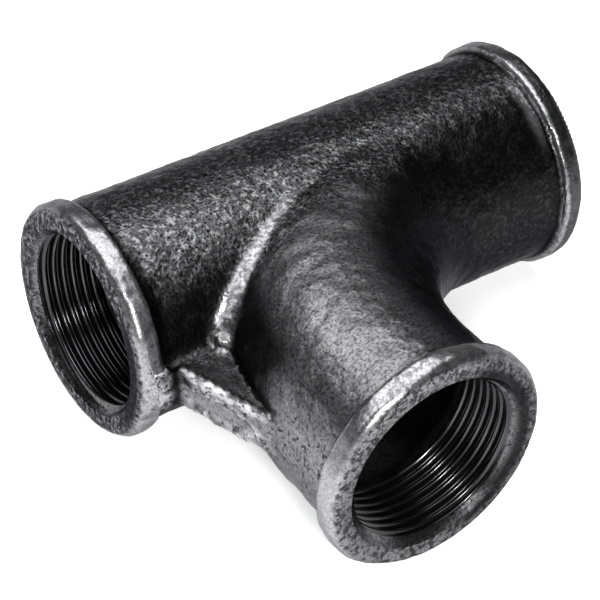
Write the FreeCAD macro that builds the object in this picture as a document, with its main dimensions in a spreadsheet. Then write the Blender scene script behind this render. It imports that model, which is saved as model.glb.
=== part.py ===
"""Pitcher tee for 1 1/4 inch pipe (DN 32): one malleable iron casting with three threaded ports.

The straight run lies along X, and the face of its plain port is at the origin. The branch leaves
towards -Y, and sweeps in a long bend into the far end of the run. Z is up, and the three beaded
ends reach down to the same height. Sizes are in millimetres.
"""

import FreeCAD
import Part
import Sketcher

import os
import re

NODE = "tee_body"

DRIVING_SIZES = (
    # Lengths along the two centre lines.
    ("plain_leg", 40.0, "crossing of the centre lines to the plain port's face"),
    ("bend_radius", 55.0, "centre line radius of the long bend"),
    ("swept_straight", 2.5, "straight waterway between the bend and the swept port's step"),
    ("step_length", 2.0, "length of the step from a threaded bore out to the waterway"),
    ("thread_depth", 19.0, "depth of a threaded bore from its face"),
    # Radii, from the thread outwards.
    ("thread_minor_radius", 19.476, "crest radius of the thread"),
    ("entry_flare", 2.1, "how much wider the entry chamfer is at the face than the thread"),
    ("run_relief", 1.7, "how much wider the run's waterway is than the thread"),
    ("bend_relief", 1.3, "how much wider the bend's waterway is than the thread"),
    ("run_wall", 4.0, "wall of the run around its waterway"),
    ("branch_wall", 3.6, "wall of the bend and the branch around their waterway"),
    ("crease_round", 5.0, "cast fillet where the bend leaves the run"),
    # Beads that stiffen the ports.
    ("bead_rise", 1.8, "how far a bead stands above the run"),
    ("bead_width", 5.6, "width of a bead along its port"),
    ("bead_front_round", 2.4, "round of a bead's front corner"),
    ("bead_back_round", 0.8, "round of a bead's back corner"),
    ("bead_root_round", 0.8, "fillet between a bead and the wall behind it"),
    # The web between the plain bead and the branch, where the gate was.
    ("web_thickness", 9.0, "thickness of the web"),
    ("web_head_rise", 1.8, "how far the web's short edge stands above the beads"),
    ("web_shoulder", 2.4, "length of that short edge behind the plain bead"),
    ("web_foot_drop", 5.0, "how far below the bend the web's long edge is aimed"),
    ("web_foot_bury", 2.7, "how deep inside the branch the web's long edge is aimed"),
    ("web_root_round", 2.5, "fillet between the web's sides and the run"),
)

# Sizes that follow from the driving ones, as expressions. A name in brackets is a cell's alias.
SWEPT_LEG = "([bend_radius] + [swept_straight] + [step_length] + [thread_depth])"
BRANCH_LEG = "([bend_radius] + [step_length] + [thread_depth])"
RUN_LENGTH = f"([plain_leg] + {SWEPT_LEG})"
ENTRY_RADIUS = "([thread_minor_radius] + [entry_flare])"
RUN_CORE_RADIUS = "([thread_minor_radius] + [run_relief])"
BEND_CORE_RADIUS = "([thread_minor_radius] + [bend_relief])"
RUN_RADIUS = f"({RUN_CORE_RADIUS} + [run_wall])"
BRANCH_RADIUS = f"({BEND_CORE_RADIUS} + [branch_wall])"
BEAD_RADIUS = f"({RUN_RADIUS} + [bead_rise])"

X_AXIS = FreeCAD.Vector(1, 0, 0)
Y_AXIS = FreeCAD.Vector(0, 1, 0)
Z_AXIS = FreeCAD.Vector(0, 0, 1)
ALONG_RUN = FreeCAD.Rotation(Z_AXIS, X_AXIS)
AGAINST_RUN = FreeCAD.Rotation(Z_AXIS, -X_AXIS)
DOWN_BRANCH = FreeCAD.Rotation(Z_AXIS, -Y_AXIS)
UP_BRANCH = FreeCAD.Rotation(Z_AXIS, Y_AXIS)

# Each port: its name, the x and y of its face's centre, the rotation that leads inwards, and the
# radii of the wall and of the waterway behind it.
PORTS = (
    ("plain", "0", "0", ALONG_RUN, RUN_RADIUS, RUN_CORE_RADIUS),
    ("swept", RUN_LENGTH, "0", AGAINST_RUN, RUN_RADIUS, RUN_CORE_RADIUS),
    ("branch", "[plain_leg]", f"-{BRANCH_LEG}", UP_BRANCH, BRANCH_RADIUS, BEND_CORE_RADIUS),
)

NEAR = 1e-3  # two lengths closer than this are the same

doc = FreeCAD.newDocument("pitcher_tee")


def make_sheet():
    """One row per driving size: its name, its value with an alias, and what it is."""
    sheet = doc.addObject("Spreadsheet::Sheet", "Sizes")
    for row, (name, value, meaning) in enumerate(DRIVING_SIZES, start=1):
        sheet.set(f"A{row}", name)
        sheet.set(f"B{row}", str(value))
        sheet.set(f"C{row}", meaning)
        sheet.setAlias(f"B{row}", name)
    doc.recompute()
    return sheet


sizes = make_sheet()


def formula(text):
    """An expression with each name in brackets turned into its cell on the sheet."""
    return re.sub(r"\[(\w+)\]", r"Sizes.\1", text)


def value(text):
    """What an expression comes to, for choosing edges by where they lie."""
    return float(sizes.evalExpression(formula(text)))


def bind(obj, bindings):
    """Ties each property of obj to its expression."""
    for name, text in bindings.items():
        obj.setExpression(name, formula(text))


def primitive(kind, label, bindings, x, y, rotation):
    """A Part primitive whose sizes and place are tied to the sheet."""
    obj = doc.addObject(f"Part::{kind}", label)
    obj.Placement = FreeCAD.Placement(FreeCAD.Vector(0, 0, 0), rotation)
    bind(obj, bindings)
    bind(obj, {"Placement.Base.x": x, "Placement.Base.y": y})
    return obj


def cylinder(label, radius, height, x, y, rotation):
    return primitive("Cylinder", label, {"Radius": radius, "Height": height}, x, y, rotation)


def cone(label, radius_near, radius_far, height, x, y, rotation):
    bindings = {"Radius1": radius_near, "Radius2": radius_far, "Height": height}
    return primitive("Cone", label, bindings, x, y, rotation)


def quarter_bend(label, tube_radius):
    """The bend, a circle turned from the swept end of the run down into the branch."""
    outwards = FreeCAD.Rotation(Y_AXIS, Z_AXIS, X_AXIS, "XYZ")
    x = "[plain_leg] + [bend_radius]"
    circle = primitive("Circle", f"{label}_section", {"Radius": tube_radius}, x, "0", outwards)
    bend = doc.addObject("Part::Revolution", label)
    bend.Source = circle
    bend.Axis = Z_AXIS
    bend.Angle = 90
    bend.Solid = True
    bind(bend, {"Base.x": x, "Base.y": "-[bend_radius]"})
    return bend


def fuse(label, pieces):
    obj = doc.addObject("Part::MultiFuse", label)
    obj.Shapes = pieces
    obj.Refine = True
    doc.recompute()
    return obj


def fillet(label, base, picks):
    """Rounds edges of base: picks holds pairs of a test for an edge and a radius."""
    edges = []
    for number, edge in enumerate(base.Shape.Edges, start=1):
        for belongs, radius in picks:
            if belongs(edge):
                edges.append((number, radius, radius))
                break
    obj = doc.addObject("Part::Fillet", label)
    obj.Base = base
    obj.Edges = edges
    doc.recompute()
    return obj


def circle_at(radius, x, y):
    """A test for an edge that is a circle or an arc of one radius about one centre."""
    centre = FreeCAD.Vector(x, y, 0)

    def belongs(edge):
        curve = edge.Curve
        if not isinstance(curve, Part.Circle):
            return False
        return abs(curve.Radius - radius) < NEAR and curve.Center.distanceToPoint(centre) < NEAR

    return belongs


def make_web():
    """The plate in the corner between the plain bead and the branch."""
    head = f"-({BEAD_RADIUS} + [web_head_rise])"
    inner = "-[thread_minor_radius]"
    foot = "-([bend_radius] + [web_foot_drop])"
    aim = f"[plain_leg] - {BRANCH_RADIUS} + [web_foot_bury]"
    corners = (
        ("heel", "[bead_width] / 2", inner),
        ("head", "[bead_width] / 2", head),
        ("shoulder", "[bead_width] + [web_shoulder]", head),
        ("foot", aim, foot),
        ("toe", "[plain_leg]", foot),
        ("crown", "[plain_leg]", inner),
    )
    spots = [FreeCAD.Vector(value(x), value(y), 0) for _, x, y in corners]
    outline = doc.addObject("Sketcher::SketchObject", "web_outline")
    for start, end in zip(spots, spots[1:] + spots[:1]):
        outline.addGeometry(Part.LineSegment(start, end))
    for line in range(len(corners)):
        after = (line + 1) % len(corners)
        outline.addConstraint(Sketcher.Constraint("Coincident", line, 2, after, 1))
    for line, ((name, x, y), spot) in enumerate(zip(corners, spots)):
        across = outline.addConstraint(Sketcher.Constraint("DistanceX", -1, 1, line, 1, spot.x))
        outline.renameConstraint(across, f"{name}_x")
        down = outline.addConstraint(Sketcher.Constraint("DistanceY", -1, 1, line, 1, spot.y))
        outline.renameConstraint(down, f"{name}_y")
        bind(outline, {f"Constraints.{name}_x": x, f"Constraints.{name}_y": y})
    web = doc.addObject("Part::Extrusion", "web")
    web.Base = outline
    web.DirMode = "Normal"
    web.Solid = True
    web.Symmetric = True
    bind(web, {"LengthFwd": "[web_thickness]"})
    doc.recompute()
    return web


def is_crease(edge):
    """The long free curve on each side where the bend leaves the run."""
    simple = isinstance(edge.Curve, (Part.Circle, Part.Ellipse, Part.Line))
    return not simple and edge.Length > sizes.bend_radius


def is_web_root(edge):
    """The straight edge on each side of the web, along the run."""
    box = edge.BoundBox
    along_run = box.YLength < NEAR and box.ZLength < NEAR
    on_side = abs(abs(box.ZMax) - sizes.web_thickness / 2) < NEAR
    on_wall = box.YMax > -value(RUN_RADIUS)
    return along_run and on_side and on_wall


def make_walls():
    """The run, the bend, the branch and the web, joined and filleted where they meet."""
    inset = "[bead_width] / 2"
    run_height = f"{RUN_LENGTH} - [bead_width]"
    run = cylinder("run_tube", RUN_RADIUS, run_height, inset, "0", ALONG_RUN)
    bend = quarter_bend("bend_tube", BRANCH_RADIUS)
    branch_height = f"{BRANCH_LEG} - [bend_radius] - {inset}"
    branch = cylinder(
        "branch_tube", BRANCH_RADIUS, branch_height, "[plain_leg]", "-[bend_radius]", DOWN_BRANCH
    )
    joined = fuse("joined_walls", [run, bend, branch, make_web()])
    picks = [(is_crease, sizes.crease_round), (is_web_root, sizes.web_root_round)]
    return fillet("walls", joined, picks)


def make_collar(port):
    """A port's bead on a short sleeve of its tube's size, with its three corners rounded."""
    name, x, y, rotation, wall_radius, _ = port
    sleeve_height = "[bead_width] + 2 * [bead_root_round]"
    bead = cylinder(f"{name}_bead", BEAD_RADIUS, "[bead_width]", x, y, rotation)
    sleeve = cylinder(f"{name}_sleeve", wall_radius, sleeve_height, x, y, rotation)
    blank = fuse(f"{name}_collar_blank", [bead, sleeve])
    front = bead.Placement.Base
    back = front + rotation.multVec(Z_AXIS) * sizes.bead_width
    picks = [
        (circle_at(value(BEAD_RADIUS), front.x, front.y), sizes.bead_front_round),
        (circle_at(value(BEAD_RADIUS), back.x, back.y), sizes.bead_back_round),
        (circle_at(value(wall_radius), back.x, back.y), sizes.bead_root_round),
    ]
    return fillet(f"{name}_collar", blank, picks)


def make_outside():
    """The whole outside of the casting, still without its hollows."""
    return fuse("outside", [make_walls()] + [make_collar(port) for port in PORTS])


def make_port_bore(port):
    """A port's entry chamfer, its threaded bore and the step out to the waterway."""
    name, x, y, rotation, _, core_radius = port
    bore_radius = "[thread_minor_radius]"
    entry = cone(f"{name}_entry", ENTRY_RADIUS, bore_radius, "[entry_flare]", x, y, rotation)
    bore = cylinder(f"{name}_bore", bore_radius, "[thread_depth]", x, y, rotation)
    inwards = rotation.multVec(Z_AXIS)
    step_x = f"{x} + {inwards.x:.0f} * [thread_depth]"
    step_y = f"{y} + {inwards.y:.0f} * [thread_depth]"
    step = cone(f"{name}_step", bore_radius, core_radius, "[step_length]", step_x, step_y, rotation)
    return [entry, bore, step]


def make_hollows():
    """The three port bores, the straight waterway of the run and the swept one of the bend."""
    start = "([thread_depth] + [step_length])"
    length = f"{RUN_LENGTH} - 2 * {start}"
    hollows = [
        cylinder("run_waterway", RUN_CORE_RADIUS, length, start, "0", ALONG_RUN),
        quarter_bend("bend_waterway", BEND_CORE_RADIUS),
    ]
    for port in PORTS:
        hollows.extend(make_port_bore(port))
    return fuse("hollows", hollows)


def make_tee():
    tee = doc.addObject("Part::Cut", NODE)
    tee.Base = make_outside()
    tee.Tool = make_hollows()
    doc.recompute()
    return tee


def check(tee):
    """Stops if anything in the document failed, or if the casting isn't one sound solid."""
    for obj in doc.Objects:
        if {"Invalid", "Error"} & set(obj.State):
            raise RuntimeError(f"{obj.Label} failed: {obj.State}")
    if tee.Shape.isNull() or not tee.Shape.isValid() or len(tee.Shape.Solids) != 1:
        raise RuntimeError(f"{tee.Label} is not one valid solid")


tee = make_tee()
check(tee)
os.makedirs("parts", exist_ok=True)
tee.Shape.exportStep(f"parts/{tee.Label}.step")
casting = tee.Shape.Solids[0]
print(f"{tee.Label}: {casting.Volume:.0f} mm3, centre of mass {casting.CenterOfMass}")
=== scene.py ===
"""Looks of the pitcher tee: a rough sand-cast skin around three bores with real helical threads.

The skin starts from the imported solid's outside. The waterways and the threaded bores are then cut
again. Lengths are in millimetres until the finished piece is scaled to metres.
"""

import math

import bmesh
import bpy
import numpy as np
from mathutils import Matrix, Vector, noise
from mathutils.bvhtree import BVHTree


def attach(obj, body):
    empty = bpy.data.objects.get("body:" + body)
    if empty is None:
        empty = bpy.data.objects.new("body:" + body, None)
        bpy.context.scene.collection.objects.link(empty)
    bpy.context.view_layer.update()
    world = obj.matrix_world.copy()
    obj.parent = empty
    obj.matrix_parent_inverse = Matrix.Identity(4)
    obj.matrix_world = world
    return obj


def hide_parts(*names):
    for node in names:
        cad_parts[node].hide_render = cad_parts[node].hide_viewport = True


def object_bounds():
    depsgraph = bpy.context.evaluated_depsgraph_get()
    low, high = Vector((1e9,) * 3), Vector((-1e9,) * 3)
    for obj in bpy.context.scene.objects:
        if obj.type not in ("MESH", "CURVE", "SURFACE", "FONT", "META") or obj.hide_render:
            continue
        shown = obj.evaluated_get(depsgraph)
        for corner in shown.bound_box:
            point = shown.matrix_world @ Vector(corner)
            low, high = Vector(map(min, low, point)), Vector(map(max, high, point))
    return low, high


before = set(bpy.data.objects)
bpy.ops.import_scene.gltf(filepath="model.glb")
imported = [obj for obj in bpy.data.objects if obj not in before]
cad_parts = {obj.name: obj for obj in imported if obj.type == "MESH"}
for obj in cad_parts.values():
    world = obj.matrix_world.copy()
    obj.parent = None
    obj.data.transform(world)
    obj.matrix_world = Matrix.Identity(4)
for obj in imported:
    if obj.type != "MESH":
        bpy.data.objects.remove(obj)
cad_low, cad_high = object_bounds()

MM = 0.001

# Sizes of the casting, as in the part's source.
PLAIN_LEG = 40.0
BEND_RADIUS = 55.0
RUN_LENGTH = 118.5
BRANCH_LEG = 76.0
THREAD_DEPTH = 19.0
STEP_LENGTH = 2.0
MINOR_RADIUS = 19.476
MAJOR_RADIUS = 20.955
PITCH = 2.309
ENTRY_FLARE = 2.1
RUN_CORE_RADIUS = 21.176
BEND_CORE_RADIUS = 20.776
RUN_RADIUS = 25.176
BRANCH_RADIUS = 24.376
BEAD_RADIUS = 26.976
BEAD_WIDTH = 5.6
WEB_HALF = 4.5
WEB_SHOULDER = 2.4
WEB_HEAD_RISE = 1.8
BEND_CENTRE_X = PLAIN_LEG + BEND_RADIUS

# Each port: its face's centre and the direction that leads inwards.
PORTS = {
    "plain": ((0.0, 0.0, 0.0), (1.0, 0.0, 0.0)),
    "swept": ((RUN_LENGTH, 0.0, 0.0), (-1.0, 0.0, 0.0)),
    "branch": ((PLAIN_LEG, -BRANCH_LEG, 0.0), (0.0, 1.0, 0.0)),
}
WALL_RADIUS = {"plain": RUN_RADIUS, "swept": RUN_RADIUS, "branch": BRANCH_RADIUS}

# The web's long edge: where it starts behind the plain bead, its direction, and the direction out.
EDGE_START = np.array((BEAD_WIDTH + WEB_SHOULDER, -(BEAD_RADIUS + WEB_HEAD_RISE)))
EDGE_ALONG = np.array((0.3128, -0.9498))
EDGE_OUT = np.array((EDGE_ALONG[1], -EDGE_ALONG[0]))
EDGE_FIRST = -4.5  # where the edge's roughness starts, counted along the edge

# The gate's oval scar on that edge: its middle along and across the edge, and its half sizes.
GATE_ALONG = 9.8
GATE_ACROSS = -1.0
GATE_HALF_LENGTH = 9.8
GATE_HALF_WIDTH = 2.6

# The small lump where the crease on the upper side runs out on the web.
KNOB = np.array((19.3, -26.9, 6.0))
KNOB_SIZE = 1.6


def rise(low, high, x):
    """0 up to low, 1 from high on, and a soft step between them."""
    t = np.clip((x - low) / (high - low), 0.0, 1.0)
    return t * t * (3.0 - 2.0 * t)


def fall(low, high, x):
    """1 up to low, 0 from high on, and a soft step between them."""
    return 1 - rise(low, high, x)


def hump(x, middle, spread):
    """1 at the middle and less on both sides; spread is the square of the hump's half width."""
    return np.exp(-((x - middle) ** 2) / spread)


def fractal(points, lump, seed):
    """Soft noise of about -1 to 1 at each point, with lumps about as large as lump."""
    scaled = points / lump + seed
    return np.array([noise.fractal(Vector(p), 1.0, 2.0, 2) for p in scaled])


def from_run(points):
    """Distance of each point from the run's axis."""
    return np.hypot(points[:, 1], points[:, 2])


def inside_bend(points):
    """How far each point lies from the bend's centre line towards the inner corner, seen from above."""
    x, y, _ = points.T
    inward = BEND_RADIUS - np.hypot(x - BEND_CENTRE_X, y + BEND_RADIUS)
    inward = np.where(y < -BEND_RADIUS, x - PLAIN_LEG, inward)
    return np.where(x > BEND_CENTRE_X, -y, inward)


def from_bend(points):
    """Distance of each point from the centre line of the bend and the branch."""
    return np.hypot(inside_bend(points), points[:, 2])


def port_place(points, port):
    """How deep each point lies behind a port's face, and how far it is from the port's axis."""
    centre, inward = PORTS[port]
    rel = points - np.array(centre)
    depth = rel @ np.array(inward)
    radial = np.linalg.norm(rel - depth[:, None] * np.array(inward), axis=1)
    return depth, radial


def web_place(points):
    """Where points lie on the web's long edge: along it, out of it, and across it."""
    rel = points[:, :2] - EDGE_START
    return rel @ EDGE_ALONG, rel @ EDGE_OUT, points[:, 2]


def gate_oval(along, across):
    """1 on the outline of the gate's scar, less inside it and more outside."""
    return np.hypot((along - GATE_ALONG) / GATE_HALF_LENGTH, (across - GATE_ACROSS) / GATE_HALF_WIDTH)


def points_of(mesh):
    flat = np.empty(len(mesh.vertices) * 3, np.float32)
    mesh.vertices.foreach_get("co", flat)
    return flat.reshape(-1, 3).astype(float)


def set_points(mesh, points):
    mesh.vertices.foreach_set("co", points.astype(np.float32).ravel())
    mesh.update()


def normals_of(mesh):
    flat = np.empty(len(mesh.vertices) * 3, np.float32)
    mesh.vertex_normals.foreach_get("vector", flat)
    return flat.reshape(-1, 3).astype(float)


def new_object(name, mesh):
    obj = bpy.data.objects.new(name, mesh)
    bpy.context.scene.collection.objects.link(obj)
    return obj


def mesh_object(name, points, faces):
    mesh = bpy.data.meshes.new(name)
    mesh.from_pydata([tuple(p) for p in points], [], faces)
    bm = bmesh.new()
    bm.from_mesh(mesh)
    bmesh.ops.recalc_face_normals(bm, faces=bm.faces)
    bm.to_mesh(mesh)
    bm.free()
    return new_object(name, mesh)


def bake_modifiers(obj):
    """Replaces the object's mesh by what its modifiers make of it."""
    graph = bpy.context.evaluated_depsgraph_get()
    made = bpy.data.meshes.new_from_object(obj.evaluated_get(graph))
    obj.modifiers.clear()
    old = obj.data
    obj.data = made
    bpy.data.meshes.remove(old)


def cut(obj, cutter):
    modifier = obj.modifiers.new("cut", "BOOLEAN")
    modifier.operation = "DIFFERENCE"
    modifier.solver = "MANIFOLD"
    modifier.object = cutter
    bake_modifiers(obj)
    bpy.data.objects.remove(cutter)


WELD = 1e-3  # points closer than this are one
FACE_SLACK = 0.01  # what lies no deeper than this belongs to a port's face


def outer_skin():
    """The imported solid's outside in millimetres, with its three ports closed by flat lids."""
    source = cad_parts["tee_body"].data
    bm = bmesh.new()
    bm.from_mesh(source)
    bmesh.ops.scale(bm, vec=(1 / MM, 1 / MM, 1 / MM), verts=bm.verts)
    bmesh.ops.remove_doubles(bm, verts=bm.verts, dist=WELD)
    centres = np.array([f.calc_center_median() for f in bm.faces])
    mid_wall = (RUN_CORE_RADIUS + RUN_RADIUS) / 2
    hollow = np.minimum(from_run(centres), from_bend(centres)) < mid_wall
    for port in PORTS:
        depth, _ = port_place(centres, port)
        hollow &= depth > FACE_SLACK
    inner = [f for f, inside in zip(bm.faces, hollow) if inside]
    bmesh.ops.delete(bm, geom=inner, context="FACES")
    rims = [e for e in bm.edges if e.is_boundary]
    bmesh.ops.holes_fill(bm, edges=rims, sides=0)
    bmesh.ops.triangulate(bm, faces=bm.faces)
    mesh = bpy.data.meshes.new("casting")
    bm.to_mesh(mesh)
    bm.free()
    return new_object("casting", mesh)


SKIN_CELL = 0.76  # side of the skin's mesh cells


def even_out(obj):
    """Gives the skin a mesh of small even cells that lies on the same surface."""
    bm = bmesh.new()
    bm.from_mesh(obj.data)
    surface = BVHTree.FromBMesh(bm)
    bm.free()
    modifier = obj.modifiers.new("cells", "REMESH")
    modifier.mode = "VOXEL"
    modifier.voxel_size = SKIN_CELL
    bake_modifiers(obj)
    points = points_of(obj.data)
    for i, p in enumerate(points):
        near, _, _, _ = surface.find_nearest(Vector(p))
        points[i] = near
    set_points(obj.data, points)


def crease_share(points):
    """1 on the fillets where the bend leaves the run, and 0 elsewhere."""
    off_run = from_run(points) - RUN_RADIUS
    off_bend = from_bend(points) - BRANCH_RADIUS
    off_both = np.minimum(off_run, off_bend)
    share = rise(0.08, 0.50, off_both)
    beside = fall(0.7, 1.5, np.abs(off_run - off_bend)) * fall(1.5, 3.0, off_both)
    share = np.maximum(share, 0.8 * beside)
    share *= rise(WEB_HALF + 0.3, WEB_HALF + 1.5, np.abs(points[:, 2]))
    return share * rise(19.0, 20.5, points[:, 0])


def gate_share(points):
    """1 on the flat scar that the gate left on the web's edge, and 0 elsewhere."""
    along, out, across = web_place(points)
    return fall(0.88, 1.04, gate_oval(along, across)) * rise(-1.2, -0.4, out)


def bead_share(points):
    """1 on the three beads and 0 elsewhere."""
    share = np.zeros(len(points))
    for port, wall in WALL_RADIUS.items():
        depth, radial = port_place(points, port)
        here = fall(BEAD_WIDTH - 0.2, BEAD_WIDTH + 0.5, depth) * (radial < BEAD_RADIUS + 2)
        here *= rise(wall - 1.2, wall - 0.4, radial)
        share = np.maximum(share, here)
    return share


def face_share(points):
    """1 on the flat rings of the ports and 0 elsewhere."""
    share = np.zeros(len(points))
    for port in PORTS:
        depth, radial = port_place(points, port)
        share = np.maximum(share, fall(0.05, 0.5, depth) * (radial < BEAD_RADIUS + 2))
    return share


def edge_reach(points):
    """Whether each point is on the web's long edge, and how much of the edge's roughness is there."""
    along, out, across = web_place(points)
    on_edge = (along > EDGE_FIRST) & (along < 30) & (out > -1.5)
    on_edge &= (np.abs(across) < 7) & (points[:, 0] < 18.5)
    return on_edge, rise(EDGE_FIRST, -1.5, along) * fall(21.0, 27.0, along)


def sand_move(points):
    """How far out the sand's swells, lumps and grains lie, and how far in the dents of the beads."""
    bead = bead_share(points)
    flat = face_share(points)
    sand = (1 - 0.75 * bead) * (1 - gate_share(points)) * (1 - flat)
    swell = 0.132 * fractal(points, 16.0, seed=11.0)
    lumps = 0.16 * fractal(points, 4.5, seed=23.0)
    grains = 0.10 * fractal(points, 1.7, seed=37.0)
    dents = 0.22 * (1 + fractal(points, 5.0, seed=5.0))
    return sand * (swell + lumps + grains) - bead * (1 - flat) * dents


def gate_move(points):
    """How far in the gate's scar lies, and how far out its rim and the torn skin around it."""
    along, out, across = web_place(points)
    on_edge, reach = edge_reach(points)
    gate = gate_share(points)
    rim = 0.22 * reach * hump(gate_oval(along, across), 1.08, 0.006)
    torn = 0.42 * reach * fractal(points, 1.6, seed=3.0)
    move = np.where(on_edge & (out > -0.6), rim, 0.0)
    move += np.where(on_edge & (out > -0.8) & (gate < 0.1), torn, 0.0)
    return move - 0.55 * gate


def knob_move(points):
    """How far out the small lump at the end of the crease lies."""
    off = np.linalg.norm(points - KNOB, axis=1)
    return KNOB_SIZE * hump(off, 0.0, KNOB_SIZE**2) * (1 + 0.5 * fractal(points, 1.3, seed=2.0))


def burr_lift(points):
    """The ragged burr that stands up along the web's two long corners, higher on the upper one."""
    along, out, across = web_place(points)
    on_edge, reach = edge_reach(points)
    line = np.c_[along, np.zeros_like(along), np.sign(across)]
    ragged = np.clip(0.75 + fractal(line, 3.4, seed=7.0), 0.15, 1.5)
    off_corner = np.hypot(np.abs(across) - WEB_HALF, np.minimum(out, 0.4))
    height = np.where(on_edge, hump(off_corner, 0.0, 1.5) * reach * ragged, 0.0)
    height *= rise(-2.0, 0.5, along) * np.where(across > 0, 1.0, 0.45)
    way = np.c_[np.tile(0.3 * EDGE_OUT, (len(points), 1)), 0.9 * np.sign(across)]
    return height[:, None] * way


def roughen(obj):
    """Moves the skin in and out as sand casting, a broken gate and rough handling leave it."""
    points = points_of(obj.data)
    move = sand_move(points) + gate_move(points) + knob_move(points)
    set_points(obj.data, points + normals_of(obj.data) * move[:, None] + burr_lift(points))


def tube_faces(rows, steps):
    """Faces of a tube of rows rings with steps points each, with a flat end on both sides."""
    faces = []
    for row in range(rows - 1):
        for k in range(steps):
            here = row * steps + k
            after = row * steps + (k + 1) % steps
            faces.append((here, after, after + steps, here + steps))
    last = (rows - 1) * steps
    faces.append(tuple(range(steps)))
    faces.append(tuple(range(last, last + steps)))
    return faces


def ring_solid(name, profile, origin, inward, steps):
    """A turned solid: profile holds pairs of depth and radius along the axis."""
    axis = Vector(inward)
    side = Vector((0, 0, 1))
    other = axis.cross(side)
    points = []
    for depth, radius in profile:
        for k in range(steps):
            angle = 2 * math.pi * k / steps
            arm = side * math.cos(angle) + other * math.sin(angle)
            points.append(Vector(origin) + axis * depth + arm * radius)
    return mesh_object(name, points, tube_faces(len(profile), steps))


CORE_STEPS = 96  # points round a waterway
RUN_ROWS = 24  # rings along the run's waterway
BEND_ROWS = 31  # rings round the bend's waterway

# Each waterway's cutter ends with a lip at the threaded bore and a tip that reaches into it.
LIP_RADIUS = MINOR_RADIUS - 0.05
TIP_RADIUS = MINOR_RADIUS - 0.2
TIP_LENGTH = 1.0


def run_core():
    """The run's waterway with its two steps."""
    start = THREAD_DEPTH
    end = RUN_LENGTH - THREAD_DEPTH
    profile = [(start - TIP_LENGTH, TIP_RADIUS), (start, LIP_RADIUS)]
    for x in np.linspace(start + STEP_LENGTH, end - STEP_LENGTH, RUN_ROWS):
        profile.append((x, RUN_CORE_RADIUS))
    profile += [(end, LIP_RADIUS), (end + TIP_LENGTH, TIP_RADIUS)]
    return ring_solid("run_core", profile, (0, 0, 0), (1, 0, 0), CORE_STEPS)


def bend_core():
    """The bend's waterway, which runs on into the run at one end and into the branch's step."""
    run_on = 2.0
    rings = [((BEND_CENTRE_X + run_on, 0.0), 90.0, BEND_CORE_RADIUS)]
    for angle in np.linspace(90.0, 180.0, BEND_ROWS):
        a = math.radians(angle)
        x = BEND_CENTRE_X + BEND_RADIUS * math.cos(a)
        y = -BEND_RADIUS + BEND_RADIUS * math.sin(a)
        rings.append(((x, y), angle, BEND_CORE_RADIUS))
    step_end = -BRANCH_LEG + THREAD_DEPTH
    rings.append(((PLAIN_LEG, step_end), 180.0, LIP_RADIUS))
    rings.append(((PLAIN_LEG, step_end - TIP_LENGTH), 180.0, TIP_RADIUS))
    points = []
    for (x, y), angle, radius in rings:
        a = math.radians(angle)
        for k in range(CORE_STEPS):
            t = 2 * math.pi * k / CORE_STEPS
            arm = radius * math.cos(t)
            points.append((x + arm * math.cos(a), y + arm * math.sin(a), radius * math.sin(t)))
    return mesh_object("bend_core", points, tube_faces(len(rings), CORE_STEPS))


THREAD_STEPS = 96  # points round one turn of the thread
THREAD_ROWS = 8  # points across one turn of the thread
THREAD_START = -3.0  # the cutter begins outside the face
THREAD_STOP = 20.6
THREAD_FADE = (15.8, 18.4)  # depths between which the thread runs out
THREAD_FLAT = 1 / 6  # share of half a turn that a flat crest takes, and a flat root too
THREAD_TURN = {"plain": 0.4, "swept": 2.3, "branch": 4.2}  # where each port's thread starts, in radians


def thread_radius(depth, phase):
    """The threaded bore's radius: crests at phase 0, and a tail that fades out before the step."""
    slope = 1.0 - abs(2.0 * (phase % 1.0) - 1.0)
    height = min(max((slope - THREAD_FLAT) / (1 - 2 * THREAD_FLAT), 0.0), 1.0)
    fade = float(fall(*THREAD_FADE, depth))
    return MINOR_RADIUS + (MAJOR_RADIUS - MINOR_RADIUS) * height * fade


def thread_cutter(port):
    """A tap for one port: one helical sheet, closed at each end by a fan around the axis."""
    centre, inward = (Vector(v) for v in PORTS[port])
    side = Vector((0, 0, 1))
    other = inward.cross(side)
    row_step = PITCH / THREAD_ROWS
    rows = int((THREAD_STOP - PITCH - THREAD_START) / row_step)
    points = []
    for row in range(rows + 1):
        for k in range(THREAD_STEPS):
            share = k / THREAD_STEPS
            depth = THREAD_START + row * row_step + PITCH * share
            radius = thread_radius(depth, row / THREAD_ROWS)
            angle = 2 * math.pi * share + THREAD_TURN[port]
            arm = side * math.cos(angle) + other * math.sin(angle)
            points.append(centre + inward * depth + arm * radius)

    def spot(row, k):
        """Index of a point; the step after a row's last one is a whole turn further on."""
        return row * THREAD_STEPS + k if k < THREAD_STEPS else (row + THREAD_ROWS) * THREAD_STEPS

    faces = []
    for row in range(rows):
        for k in range(THREAD_STEPS):
            if k < THREAD_STEPS - 1 or row + 1 + THREAD_ROWS <= rows:
                faces.append((spot(row, k), spot(row, k + 1), spot(row + 1, k + 1), spot(row + 1, k)))
    first = [spot(0, k) for k in range(THREAD_STEPS)]
    first += [spot(row, 0) for row in range(THREAD_ROWS, 0, -1)]
    last = [spot(rows, k) for k in range(THREAD_STEPS)]
    last += [spot(row, THREAD_STEPS - 1) for row in range(rows - 1, rows - THREAD_ROWS - 1, -1)]
    for loop in (first, last):
        depth = np.mean([(points[i] - centre).dot(inward) for i in loop])
        points.append(centre + inward * depth)
        tip = len(points) - 1
        for a, b in zip(loop, loop[1:] + loop[:1]):
            faces.append((a, b, tip))
    return mesh_object(f"tap_{port}", points, faces)


ENTRY_STEPS = 128  # points round a chamfer


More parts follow.
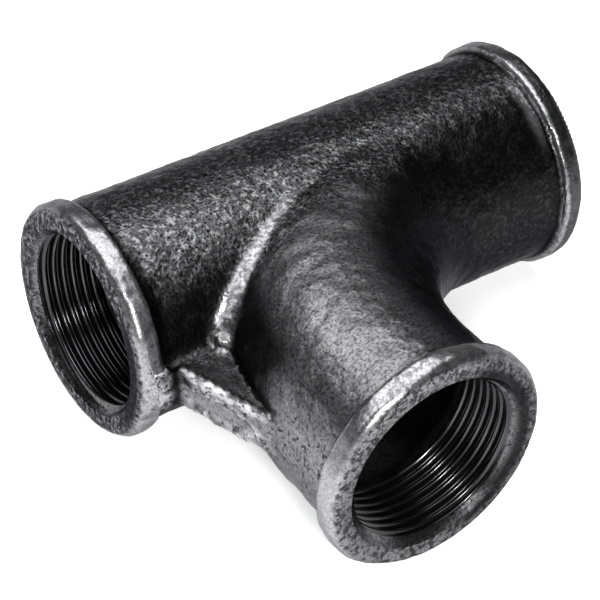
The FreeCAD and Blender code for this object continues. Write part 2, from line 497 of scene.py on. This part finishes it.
def entry_cutter(port):
    """The chamfered entry of one port, which starts outside the face and ends inside the thread."""
    centre, inward = PORTS[port]
    outside = 1.0
    inside = 0.3
    profile = [
        (-outside, MINOR_RADIUS + ENTRY_FLARE + outside),
        (0.0, MINOR_RADIUS + ENTRY_FLARE),
        (ENTRY_FLARE + inside, MINOR_RADIUS - inside),
    ]
    return ring_solid(f"entry_{port}", profile, centre, inward, ENTRY_STEPS)


def keep_in_box(obj):
    """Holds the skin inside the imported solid's box."""
    low = np.array(cad_low) / MM
    high = np.array(cad_high) / MM
    set_points(obj.data, np.clip(points_of(obj.data), low, high))


def port_areas(points):
    """The ports' areas: machined bore, thread crests painted lighter as a painted highlight, face ring,
    and chamfer.
    """
    areas = {name: np.zeros(len(points)) for name in ("machined", "crest", "ring", "chamfer")}
    flare_radius = MINOR_RADIUS + ENTRY_FLARE
    for port in PORTS:
        depth, radial = port_place(points, port)
        bore = (radial < flare_radius - 0.02) & (depth < THREAD_DEPTH + 0.2) & (depth > 0.02)
        here = {
            "machined": bore,
            "crest": bore * fall(MINOR_RADIUS + 0.03, MINOR_RADIUS + 0.28, radial),
            "ring": (depth < 0.35) & (radial < BEAD_RADIUS + 1) & (radial > MINOR_RADIUS),
            "chamfer": bore & (depth < ENTRY_FLARE + 0.1) & (radial + depth > flare_radius - 0.15),
        }
        for name, share in here.items():
            areas[name] = np.maximum(areas[name], share)
    return areas


def root_shade_share(points):
    """1 where shade is painted into the dark corner where a wall meets the back of its bead, and 0
    elsewhere.
    """
    root = np.zeros(len(points))
    for port, wall in WALL_RADIUS.items():
        depth, radial = port_place(points, port)
        at_wall = (radial < wall + 1.0) & (radial > wall - 1.0)
        root = np.maximum(root, hump(depth, BEAD_WIDTH + 0.5, 0.49) * at_wall)
    # A wider band of painted shadow on the run behind the plain bead, on its front side only.
    depth, radial = port_place(points, "plain")
    gap = rise(BEAD_WIDTH - 0.3, BEAD_WIDTH + 0.3, depth) * fall(7.6, 9.4, depth)
    gap *= (radial > RUN_RADIUS - 1.0) * rise(2.0, 12.0, -points[:, 1])
    return np.maximum(root, gap)


def far_bead_highlight_and_shade(points):
    """The painted highlight on the wall's fillet beside the far bead, and the painted shade that leaves
    the bead's own outer side less bare.
    """
    depth, radial = port_place(points, "swept")
    forward = -points[:, 1]
    behind = depth - BEAD_WIDTH
    fillet_highlight = rise(1.0, 1.7, behind) * fall(2.2, 4.2, behind)
    fillet_highlight *= rise(1.0, 8.0, forward) * fall(15.0, 22.0, forward) * (points[:, 2] > 0)
    front_shade = (behind < -0.9) * (radial > MINOR_RADIUS + 4.0) * rise(-6.0, 2.0, forward)
    return fillet_highlight, front_shade


def painted_shade_share(points):
    """1 where shade is painted black onto the skin, in the hollows around the bend, and 0 elsewhere."""
    x, y, z = points.T
    forward = -y
    inward = inside_bend(points)
    on_run = fall(0.4, 1.6, from_run(points) - RUN_RADIUS)
    ragged = inward + 1.5 * fractal(points, 3.0, seed=51.0)
    inner_corner = rise(3.0, 12.0, ragged) * (x > 30)
    run_front = on_run * rise(15.5, 21.0, forward) * (x < 45)
    bend_back = rise(15.5, 19.5, -inward) * fall(43.0, 52.0, forward) * (1 - on_run)
    bend_back *= (x < 40) & (np.abs(z) > WEB_HALF + 0.4)
    return np.maximum(np.maximum(inner_corner, run_front), bend_back)


def web_areas(points):
    """The web's areas: the skin of its edge, its burr, the rim of the gate's scar, and the painted
    shade in its pockets.
    """
    x = points[:, 0]
    along, out, across = web_place(points)
    half = np.abs(across)
    near = (along > EDGE_FIRST) & (along < 26) & (x < 18.0)
    on_edge = near & (out > -0.9) & (half < 6.5)
    edge = on_edge * rise(-0.9, -0.2, out) * fall(14.0, 18.0, x)
    off_corner = np.hypot(np.maximum(-0.1 - out, 0), np.maximum(WEB_HALF - 0.1 - half, 0))
    burr = near * fall(0.55, 1.15, off_corner) * fall(1.2, 2.2, half - WEB_HALF)
    burr *= np.where(across > 0, 1.0, 0.5) * rise(-1.0, 0.5, along) * fall(19.0, 24.0, along)
    rim = near * (out > -0.8) * hump(gate_oval(along, across), 1.06, 0.012)
    # Painted shade on the web's two flat faces behind its edge, in the corner between the run and the
    # bend.
    in_pocket = (x < 21.0) & (points[:, 1] < -25.5) & (half < WEB_HALF + 2.2)
    in_pocket &= (out < -0.9) & (out > -16)
    pocket_shade = in_pocket * rise(WEB_HALF - 1.0, WEB_HALF - 0.3, half) * fall(-1.2, -0.7, out)
    return {"edge": edge, "burr": burr, "rim": rim, "pocket_shade": pocket_shade}


def mark_areas(mesh):
    """Stores the areas of the finish, and of its painted light and shade, on the mesh, each as a number
    from 0 to 1 for each point.

    The calm area is the bend and the branch, away from the run: a finer skin, also painted lighter than
    the run's as painted light.
    """
    points = points_of(mesh)
    x, y, _ = points.T
    off_knob = np.linalg.norm(points - KNOB, axis=1)
    knob = fall(1.9, 2.6, off_knob)
    neck = hump(off_knob, 2.7, 0.25)
    # Painted highlight: the crease's fillets and the knob get lighter bare metal, less in a ring round
    # the knob.
    crease = crease_share(points) * fall(38.0, 50.0, x)
    # Painted highlight beside the far bead, added as bead metal, and painted shade on the far bead's
    # front side.
    fillet_highlight, front_shade = far_bead_highlight_and_shade(points)
    bead = np.maximum(bead_share(points) * (1 - 0.75 * front_shade), fillet_highlight)
    # Painted light: the branch's left side is made lighter, as bare metal like the web's edge.
    branch_side_light = fall(17.0, 23.0, x) * rise(46.0, 56.0, -y)
    areas = {**port_areas(points), **web_areas(points)}
    areas["bead"] = bead
    areas["crease"] = np.clip(crease * (1 - 0.8 * neck) + knob, 0, 1)
    areas["gate"] = gate_share(points)
    areas["edge"] = np.maximum(areas["edge"], branch_side_light * (1 - bead))
    areas["pocket_shade"] = areas["pocket_shade"] * (1 - knob)
    # Painted shade behind the beads.
    areas["root"] = root_shade_share(points)
    areas["calm"] = rise(1.5, 7.0, from_run(points) - RUN_RADIUS)
    # Painted shade, kept off the far bead's painted highlight and off the crease.
    areas["painted_shade"] = painted_shade_share(points) * (1 - fillet_highlight) * (1 - np.clip(crease + knob, 0, 1))
    for name, share in areas.items():
        layer = mesh.attributes.new(name, "FLOAT", "POINT")
        layer.data.foreach_set("value", share.astype(np.float32))


def soften_threads(mesh):
    """Takes the sharp marks off the thread's crests and roots, which are rounded on a real casting."""
    points = points_of(mesh) / MM
    in_thread = np.zeros(len(points), bool)
    for port in PORTS:
        depth, radial = port_place(points, port)
        in_thread |= (depth > ENTRY_FLARE) & (depth < THREAD_DEPTH) & (radial < MAJOR_RADIUS + 0.1)
    ends = np.empty(len(mesh.edges) * 2, np.int32)
    mesh.edges.foreach_get("vertices", ends)
    ends = ends.reshape(-1, 2)
    marks = mesh.attributes["sharp_edge"]
    sharp = np.empty(len(mesh.edges), bool)
    marks.data.foreach_get("value", sharp)
    sharp &= ~in_thread[ends].all(axis=1)
    marks.data.foreach_set("value", sharp)
    mesh.update()


SHARP_ANGLE = math.radians(42)


def build_casting():
    obj = outer_skin()
    even_out(obj)
    roughen(obj)
    keep_in_box(obj)
    cut(obj, run_core())
    cut(obj, bend_core())
    for port in PORTS:
        cut(obj, thread_cutter(port))
        cut(obj, entry_cutter(port))
    mark_areas(obj.data)
    obj.data.transform(Matrix.Scale(MM, 4))
    obj.data.shade_smooth()
    obj.data.set_sharp_from_angle(angle=SHARP_ANGLE)
    soften_threads(obj.data)
    return obj


casting = build_casting()
casting.name = "tee_casting"
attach(casting, "root")
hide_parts("tee_body")


def grey(value):
    """A grey with a slight blue cast, as black iron has."""
    return (value, value, value * 1.04, 1.0)


class Nodes:
    """Short hands for building a node material."""

    def __init__(self, material):
        material.use_nodes = True
        self.tree = material.node_tree
        self.tree.nodes.clear()

    def add(self, kind, inputs=None, **settings):
        node = self.tree.nodes.new(kind)
        for name, value in settings.items():
            setattr(node, name, value)
        for name, value in (inputs or {}).items():
            self.put(node.inputs[name], value)
        return node

    def put(self, socket, value):
        if isinstance(value, bpy.types.NodeSocket):
            self.tree.links.new(value, socket)
        else:
            socket.default_value = value

    def layer(self, name):
        return self.add("ShaderNodeAttribute", attribute_name=name).outputs["Fac"]

    def grain(self, place, size, detail, rough):
        """Noise from 0 to 1 whose lumps are about size metres across."""
        inputs = {"Vector": place, "Scale": 1.0 / size, "Detail": detail, "Roughness": rough}
        return self.add("ShaderNodeTexNoise", inputs).outputs["Fac"]

    def cells(self, place, scale):
        """Distance from the nearest of many scattered dots, with scale dots to the metre."""
        return self.add("ShaderNodeTexVoronoi", {"Vector": place, "Scale": scale}).outputs["Distance"]

    def math(self, operation, a, b):
        node = self.add("ShaderNodeMath", operation=operation)
        self.put(node.inputs[0], a)
        self.put(node.inputs[1], b)
        return node.outputs[0]

    def times(self, a, b):
        return self.math("MULTIPLY", a, b)

    def most(self, a, b):
        return self.math("MAXIMUM", a, b)

    def between(self, value, low, high, out_low=0.0, out_high=1.0):
        """Value stretched from low..high to out_low..out_high, softly and held at both ends."""
        inputs = {
            "Value": value,
            "From Min": low,
            "From Max": high,
            "To Min": out_low,
            "To Max": out_high,
        }
        node = self.add("ShaderNodeMapRange", inputs, interpolation_type="SMOOTHSTEP")
        return node.outputs["Result"]

    def mix(self, kind, share, a, b):
        node = self.add("ShaderNodeMix", data_type=kind)
        self.put(node.inputs["Factor"], share)
        self.put(node.inputs["A"], a)
        self.put(node.inputs["B"], b)
        return node.outputs["Result"]

    def blend(self, share, a, b):
        """Colour a where share is 0 and colour b where it is 1."""
        return self.mix("RGBA", share, a, b)

    def level(self, share, a, b):
        """Number a where share is 0 and number b where it is 1."""
        return self.mix("FLOAT", share, a, b)

    def coat(self, colour, share, value):
        """The colour, under a grey of this value where share is 1."""
        return self.blend(share, colour, grey(value))


# Greys of the finish, from black at 0 to white at 1. Each pair goes from dark to light.
RUN_SKIN = (0.062, 0.215)
# Painted light: the bend's and the branch's skin is lighter than the run's.
BEND_SKIN = (0.138, 0.200)
METAL = (0.27, 0.42)
# The light end is a painted highlight on the thread crests.
THREAD = (0.050, 0.12)
BLOTCH = 0.06
PIT = 0.006
# Painted shade: the hollows around the bend, the run's front and the bend's side below the run.
PAINTED_SHADE = 0.010
# Painted shade on the web's faces.
POCKET_SHADE = 0.012
# Painted highlight on the tops of the burr and the scar's rim.
RIDGE_HIGHLIGHT = 0.50
HOLLOW = 0.012
CHAMFER = 0.13
# Painted shade behind the beads.
ROOT_SHADE = 0.004

# How much bare metal each area shows. It is real wear, except on the crease, beside the far bead and on
# the branch's side, where it is painted highlight.
RUBBED_AND_HIGHLIGHT = {"bead": 0.80, "crease": 0.60, "edge": 0.16, "burr": 1.0, "gate": 0.25}
RUBBED_RING = 0.38

METALLIC = 0.96
GRAZING_TINT = 0.45
SKIN_ROUGHNESS = (0.31, 0.39)
WORN_ROUGHNESS = 0.28
BURR_ROUGHNESS = 0.45
THREAD_ROUGHNESS = 0.19
BUMP_DEPTH = 0.00012


class Finish(Nodes):
    """Black casting skin with painted shade in its hollows, bare rubbed beads and edges, painted
    highlights on ridges and crests, and dark cut threads.
    """

    def __init__(self, material):
        super().__init__(material)
        place = self.add("ShaderNodeTexCoord").outputs["Object"]
        self.sand = self.grain(place, size=0.00065, detail=3.0, rough=0.6)
        self.fine = self.grain(place, size=0.0005, detail=2.0, rough=0.5)
        self.coarse = self.grain(place, size=0.0012, detail=3.0, rough=0.65)
        self.blotch = self.grain(place, size=0.009, detail=3.0, rough=0.55)
        self.wear = self.grain(place, size=0.0022, detail=4.0, rough=0.65)
        self.grit = self.between(self.cells(place, scale=1100.0), 0.1, 0.75, 1.0, 0.0)
        dots = self.between(self.cells(place, scale=780.0), 0.16, 0.30, 1.0, 0.0)
        dots = self.times(dots, self.between(self.coarse, 0.56, 0.48))
        self.pit = self.most(self.between(self.sand, 0.46, 0.38), dots)
        self.calm = self.layer("calm")
        self.ring = self.layer("ring")
        self.crease = self.layer("crease")
        self.edge = self.layer("edge")
        self.burr = self.layer("burr")
        self.machined = self.layer("machined")
        self.bare_and_lit = self.bare_and_lit_share()
        self.worn_and_lit = self.worn_and_lit_share()

    def bare_and_lit_share(self):
        """How much of the skin is rubbed off, together with the painted highlights made the same way.
        """
        bare_and_lit = 0.0
        for name, share in RUBBED_AND_HIGHLIGHT.items():
            bare_and_lit = self.most(bare_and_lit, self.times(self.layer(name), share))
        return self.times(bare_and_lit, self.level(self.ring, 1.0, RUBBED_RING))

    def worn_and_lit_share(self):
        """The rubbed share and its painted highlights, broken up by patches and pits that keep their
        skin.
        """
        worn_and_lit = self.times(self.bare_and_lit, self.between(self.wear, 0.30, 0.52, 0.45, 1.0))
        return self.times(worn_and_lit, self.level(self.times(self.ring, self.pit), 1.0, 0.1))

    def skin(self):
        """The speckled skin, with its blotches and pits, and the painted shade around the bend and in
        the web's pockets.
        """
        speck = self.between(self.level(self.calm, self.coarse, self.sand), 0.48, 0.62)
        # Painted light: lighter greys on the bend and the branch.
        dark = self.blend(self.calm, grey(RUN_SKIN[0]), grey(BEND_SKIN[0]))
        light = self.blend(self.calm, grey(RUN_SKIN[1]), grey(BEND_SKIN[1]))
        colour = self.blend(speck, dark, light)
        colour = self.coat(colour, self.times(self.between(self.blotch, 0.45, 0.75), 0.45), BLOTCH)
        colour = self.coat(colour, self.times(self.pit, self.level(self.calm, 0.95, 0.60)), PIT)
        # Painted shade around the bend, nearly black.
        colour = self.coat(colour, self.times(self.layer("painted_shade"), 0.90), PAINTED_SHADE)
        # Painted shade in the web's pockets.
        return self.coat(colour, self.times(self.layer("pocket_shade"), 0.7), POCKET_SHADE)

    def ridge_highlight_share(self):
        """A painted highlight: the tops of the burr and of the scar's rim, lighter than their bare
        metal.
        """
        ridge = self.most(self.times(self.burr, 0.9), self.times(self.layer("rim"), 0.85))
        return self.times(ridge, self.between(self.wear, 0.30, 0.45, 0.5, 1.0))

    def hollow_share(self):
        """The black hollows left in the rubbed ring, crease and edge."""
        on_ring = self.times(self.ring, self.between(self.coarse, 0.55, 0.42, 0.0, 0.9))
        on_crease = self.times(self.crease, self.between(self.coarse, 0.55, 0.40, 0.0, 0.6))
        on_edge = self.times(self.edge, self.between(self.coarse, 0.44, 0.37))
        return self.times(self.most(self.most(on_ring, on_crease), on_edge), 0.9)

    def thread(self):
        """The dark cut thread with a painted highlight on its crests, and its pitted chamfer."""
        bright = self.times(self.layer("crest"), self.between(self.blotch, 0.42, 0.60, 0.15, 1.0))
        cut_metal = self.blend(bright, grey(THREAD[0]), grey(THREAD[1]))
        chamfer = self.blend(self.pit, grey(CHAMFER), grey(HOLLOW))
        return self.blend(self.layer("chamfer"), cut_metal, chamfer)

    def colour(self):
        metal = self.blend(self.between(self.fine, 0.35, 0.65), grey(METAL[0]), grey(METAL[1]))
        colour = self.blend(self.worn_and_lit, self.skin(), metal)
        # Painted highlight along the burr and the scar's rim.
        colour = self.coat(colour, self.ridge_highlight_share(), RIDGE_HIGHLIGHT)
        colour = self.coat(colour, self.hollow_share(), HOLLOW)
        colour = self.blend(self.machined, colour, self.thread())
        # Painted shade, nearly black, behind the beads.
        return self.coat(colour, self.times(self.layer("root"), 0.95), ROOT_SHADE)

    def roughness(self):
        rough = self.between(self.blotch, 0.35, 0.65, *SKIN_ROUGHNESS)
        rough = self.level(self.worn_and_lit, rough, WORN_ROUGHNESS)
        rough = self.level(self.burr, rough, BURR_ROUGHNESS)
        return self.level(self.machined, rough, THREAD_ROUGHNESS)

    def normal(self):
        """The skin's small relief, flatter where it is rubbed and nearly smooth in the bores."""
        height = self.math("ADD", self.coarse, self.times(self.sand, 0.5))
        height = self.math("ADD", height, self.times(self.grit, 0.45))
        depth = self.level(self.bare_and_lit, self.level(self.calm, 0.8, 0.4), 0.22)
        depth = self.level(self.machined, depth, 0.08)
        inputs = {"Height": self.times(height, depth), "Distance": BUMP_DEPTH}
        return self.add("ShaderNodeBump", inputs).outputs["Normal"]


def make_finish():
    material = bpy.data.materials.new("black_iron_finish")
    finish = Finish(material)
    inputs = {
        "Base Color": finish.colour(),
        "Roughness": finish.roughness(),
        "Metallic": METALLIC,
        "Specular Tint": grey(GRAZING_TINT),
        "Normal": finish.normal(),
    }
    shader = finish.add("ShaderNodeBsdfPrincipled", inputs)
    finish.add("ShaderNodeOutputMaterial", {"Surface": shader.outputs["BSDF"]})
    return material


casting.data.materials.clear()
casting.data.materials.append(make_finish())


def shown_white(n, shader_seen, shader_lit):
    """One shader for what the camera and reflections see, and another for what lights the object."""
    path = n.add("ShaderNodeLightPath")
    seen = n.most(path.outputs["Is Camera Ray"], path.outputs["Is Glossy Ray"])
    seen = n.most(seen, path.outputs["Is Transmission Ray"])
    mix = n.add("ShaderNodeMixShader", {"Fac": seen})
    n.put(mix.inputs[1], shader_lit)
    n.put(mix.inputs[2], shader_seen)
    return mix.outputs["Shader"]


WHITE = (1.0, 1.0, 1.0, 1.0)
PAPER = (0.85, 0.85, 0.85, 1.0)
FLOOR_HALF = 3.0
FLOOR_GAP = 0.0002  # between the object's lowest point and the floor
FLOOR_GLOW = 0.55  # lifts the paper to white where it is seen, and lights nothing


def make_floor():
    """A pale floor that keeps the object's shadow and is clear from below."""
    size = FLOOR_HALF
    level = cad_low.z - FLOOR_GAP
    corners = [(-size, -size, level), (size, -size, level), (size, size, level), (-size, size, level)]
    floor = mesh_object("floor", corners, [(0, 1, 2, 3)])
    material = bpy.data.materials.new("floor_paper")
    n = Nodes(material)
    paper = n.add("ShaderNodeBsdfDiffuse", {"Color": PAPER}).outputs["BSDF"]
    glow = n.add("ShaderNodeEmission", {"Color": WHITE, "Strength": FLOOR_GLOW}).outputs["Emission"]
    both = n.add("ShaderNodeAddShader")
    n.put(both.inputs[0], paper)
    n.put(both.inputs[1], glow)
    below = n.add("ShaderNodeMixShader", {"Fac": n.add("ShaderNodeNewGeometry").outputs["Backfacing"]})
    n.put(below.inputs[1], shown_white(n, both.outputs["Shader"], paper))
    n.put(below.inputs[2], n.add("ShaderNodeBsdfTransparent").outputs["BSDF"])
    n.add("ShaderNodeOutputMaterial", {"Surface": below.outputs["Shader"]})
    floor.data.materials.append(material)


# The studio's walls fade out between these two heights of a direction of length 1.
WALL_TOP = (0.125, 0.18)
WALL_LIGHT = 0.9
CEILING_LIGHT = 0.04


def make_world():
    """A dim studio whose walls are pale up to a little above the horizon."""
    world = bpy.data.worlds.new("studio")
    n = Nodes(world)
    way = n.add("ShaderNodeTexCoord").outputs["Generated"]
    height = n.add("ShaderNodeSeparateXYZ", {"Vector": way}).outputs["Z"]
    strength = n.between(height, *WALL_TOP, WALL_LIGHT, CEILING_LIGHT)
    light = n.add("ShaderNodeBackground", {"Color": WHITE, "Strength": strength})
    n.add("ShaderNodeOutputWorld", {"Surface": light.outputs["Background"]})
    bpy.context.scene.world = world


CENTRE = Vector((0.052, -0.025, 0.0))  # the point that the lamps look at


def make_lamp(name, direction, distance, size, power):
    """A square soft lamp that looks at the object from one direction."""
    data = bpy.data.lights.new(name, "AREA")
    data.shape = "SQUARE"
    data.size = size
    data.energy = power
    lamp = bpy.data.objects.new(name, data)
    bpy.context.scene.collection.objects.link(lamp)
    way = Vector(direction).normalized()
    lamp.location = CENTRE + way * distance
    lamp.rotation_euler = (-way).to_track_quat("-Z", "Y").to_euler()


CAMERA_PLACE = Vector((-0.19487, -0.34975, 0.35202))
CAMERA_FORWARD = Vector((0.44455, 0.61355, -0.65263))
CAMERA_UP = Vector((0.34605, 0.55438, 0.75691))
CAMERA_LENS = 148.368
CAMERA_SENSOR = 36.0


def make_camera():
    data = bpy.data.cameras.new("camera")
    data.lens = CAMERA_LENS
    data.sensor_width = CAMERA_SENSOR
    camera = bpy.data.objects.new("camera", data)
    bpy.context.scene.collection.objects.link(camera)
    right = CAMERA_FORWARD.cross(CAMERA_UP).normalized()
    axes = Matrix((right, CAMERA_UP, -CAMERA_FORWARD)).transposed()
    camera.matrix_world = Matrix.Translation(CAMERA_PLACE) @ axes.to_4x4()
    bpy.context.scene.camera = camera


make_floor()
make_world()
make_lamp("overhead", direction=(-0.18, 0.13, 1.0), distance=0.33, size=0.44, power=2.15)
make_lamp("front", direction=(-0.36, -0.74, 0.56), distance=0.50, size=0.085, power=2.0)
make_camera()
bpy.context.scene.view_settings.view_transform = "Standard"
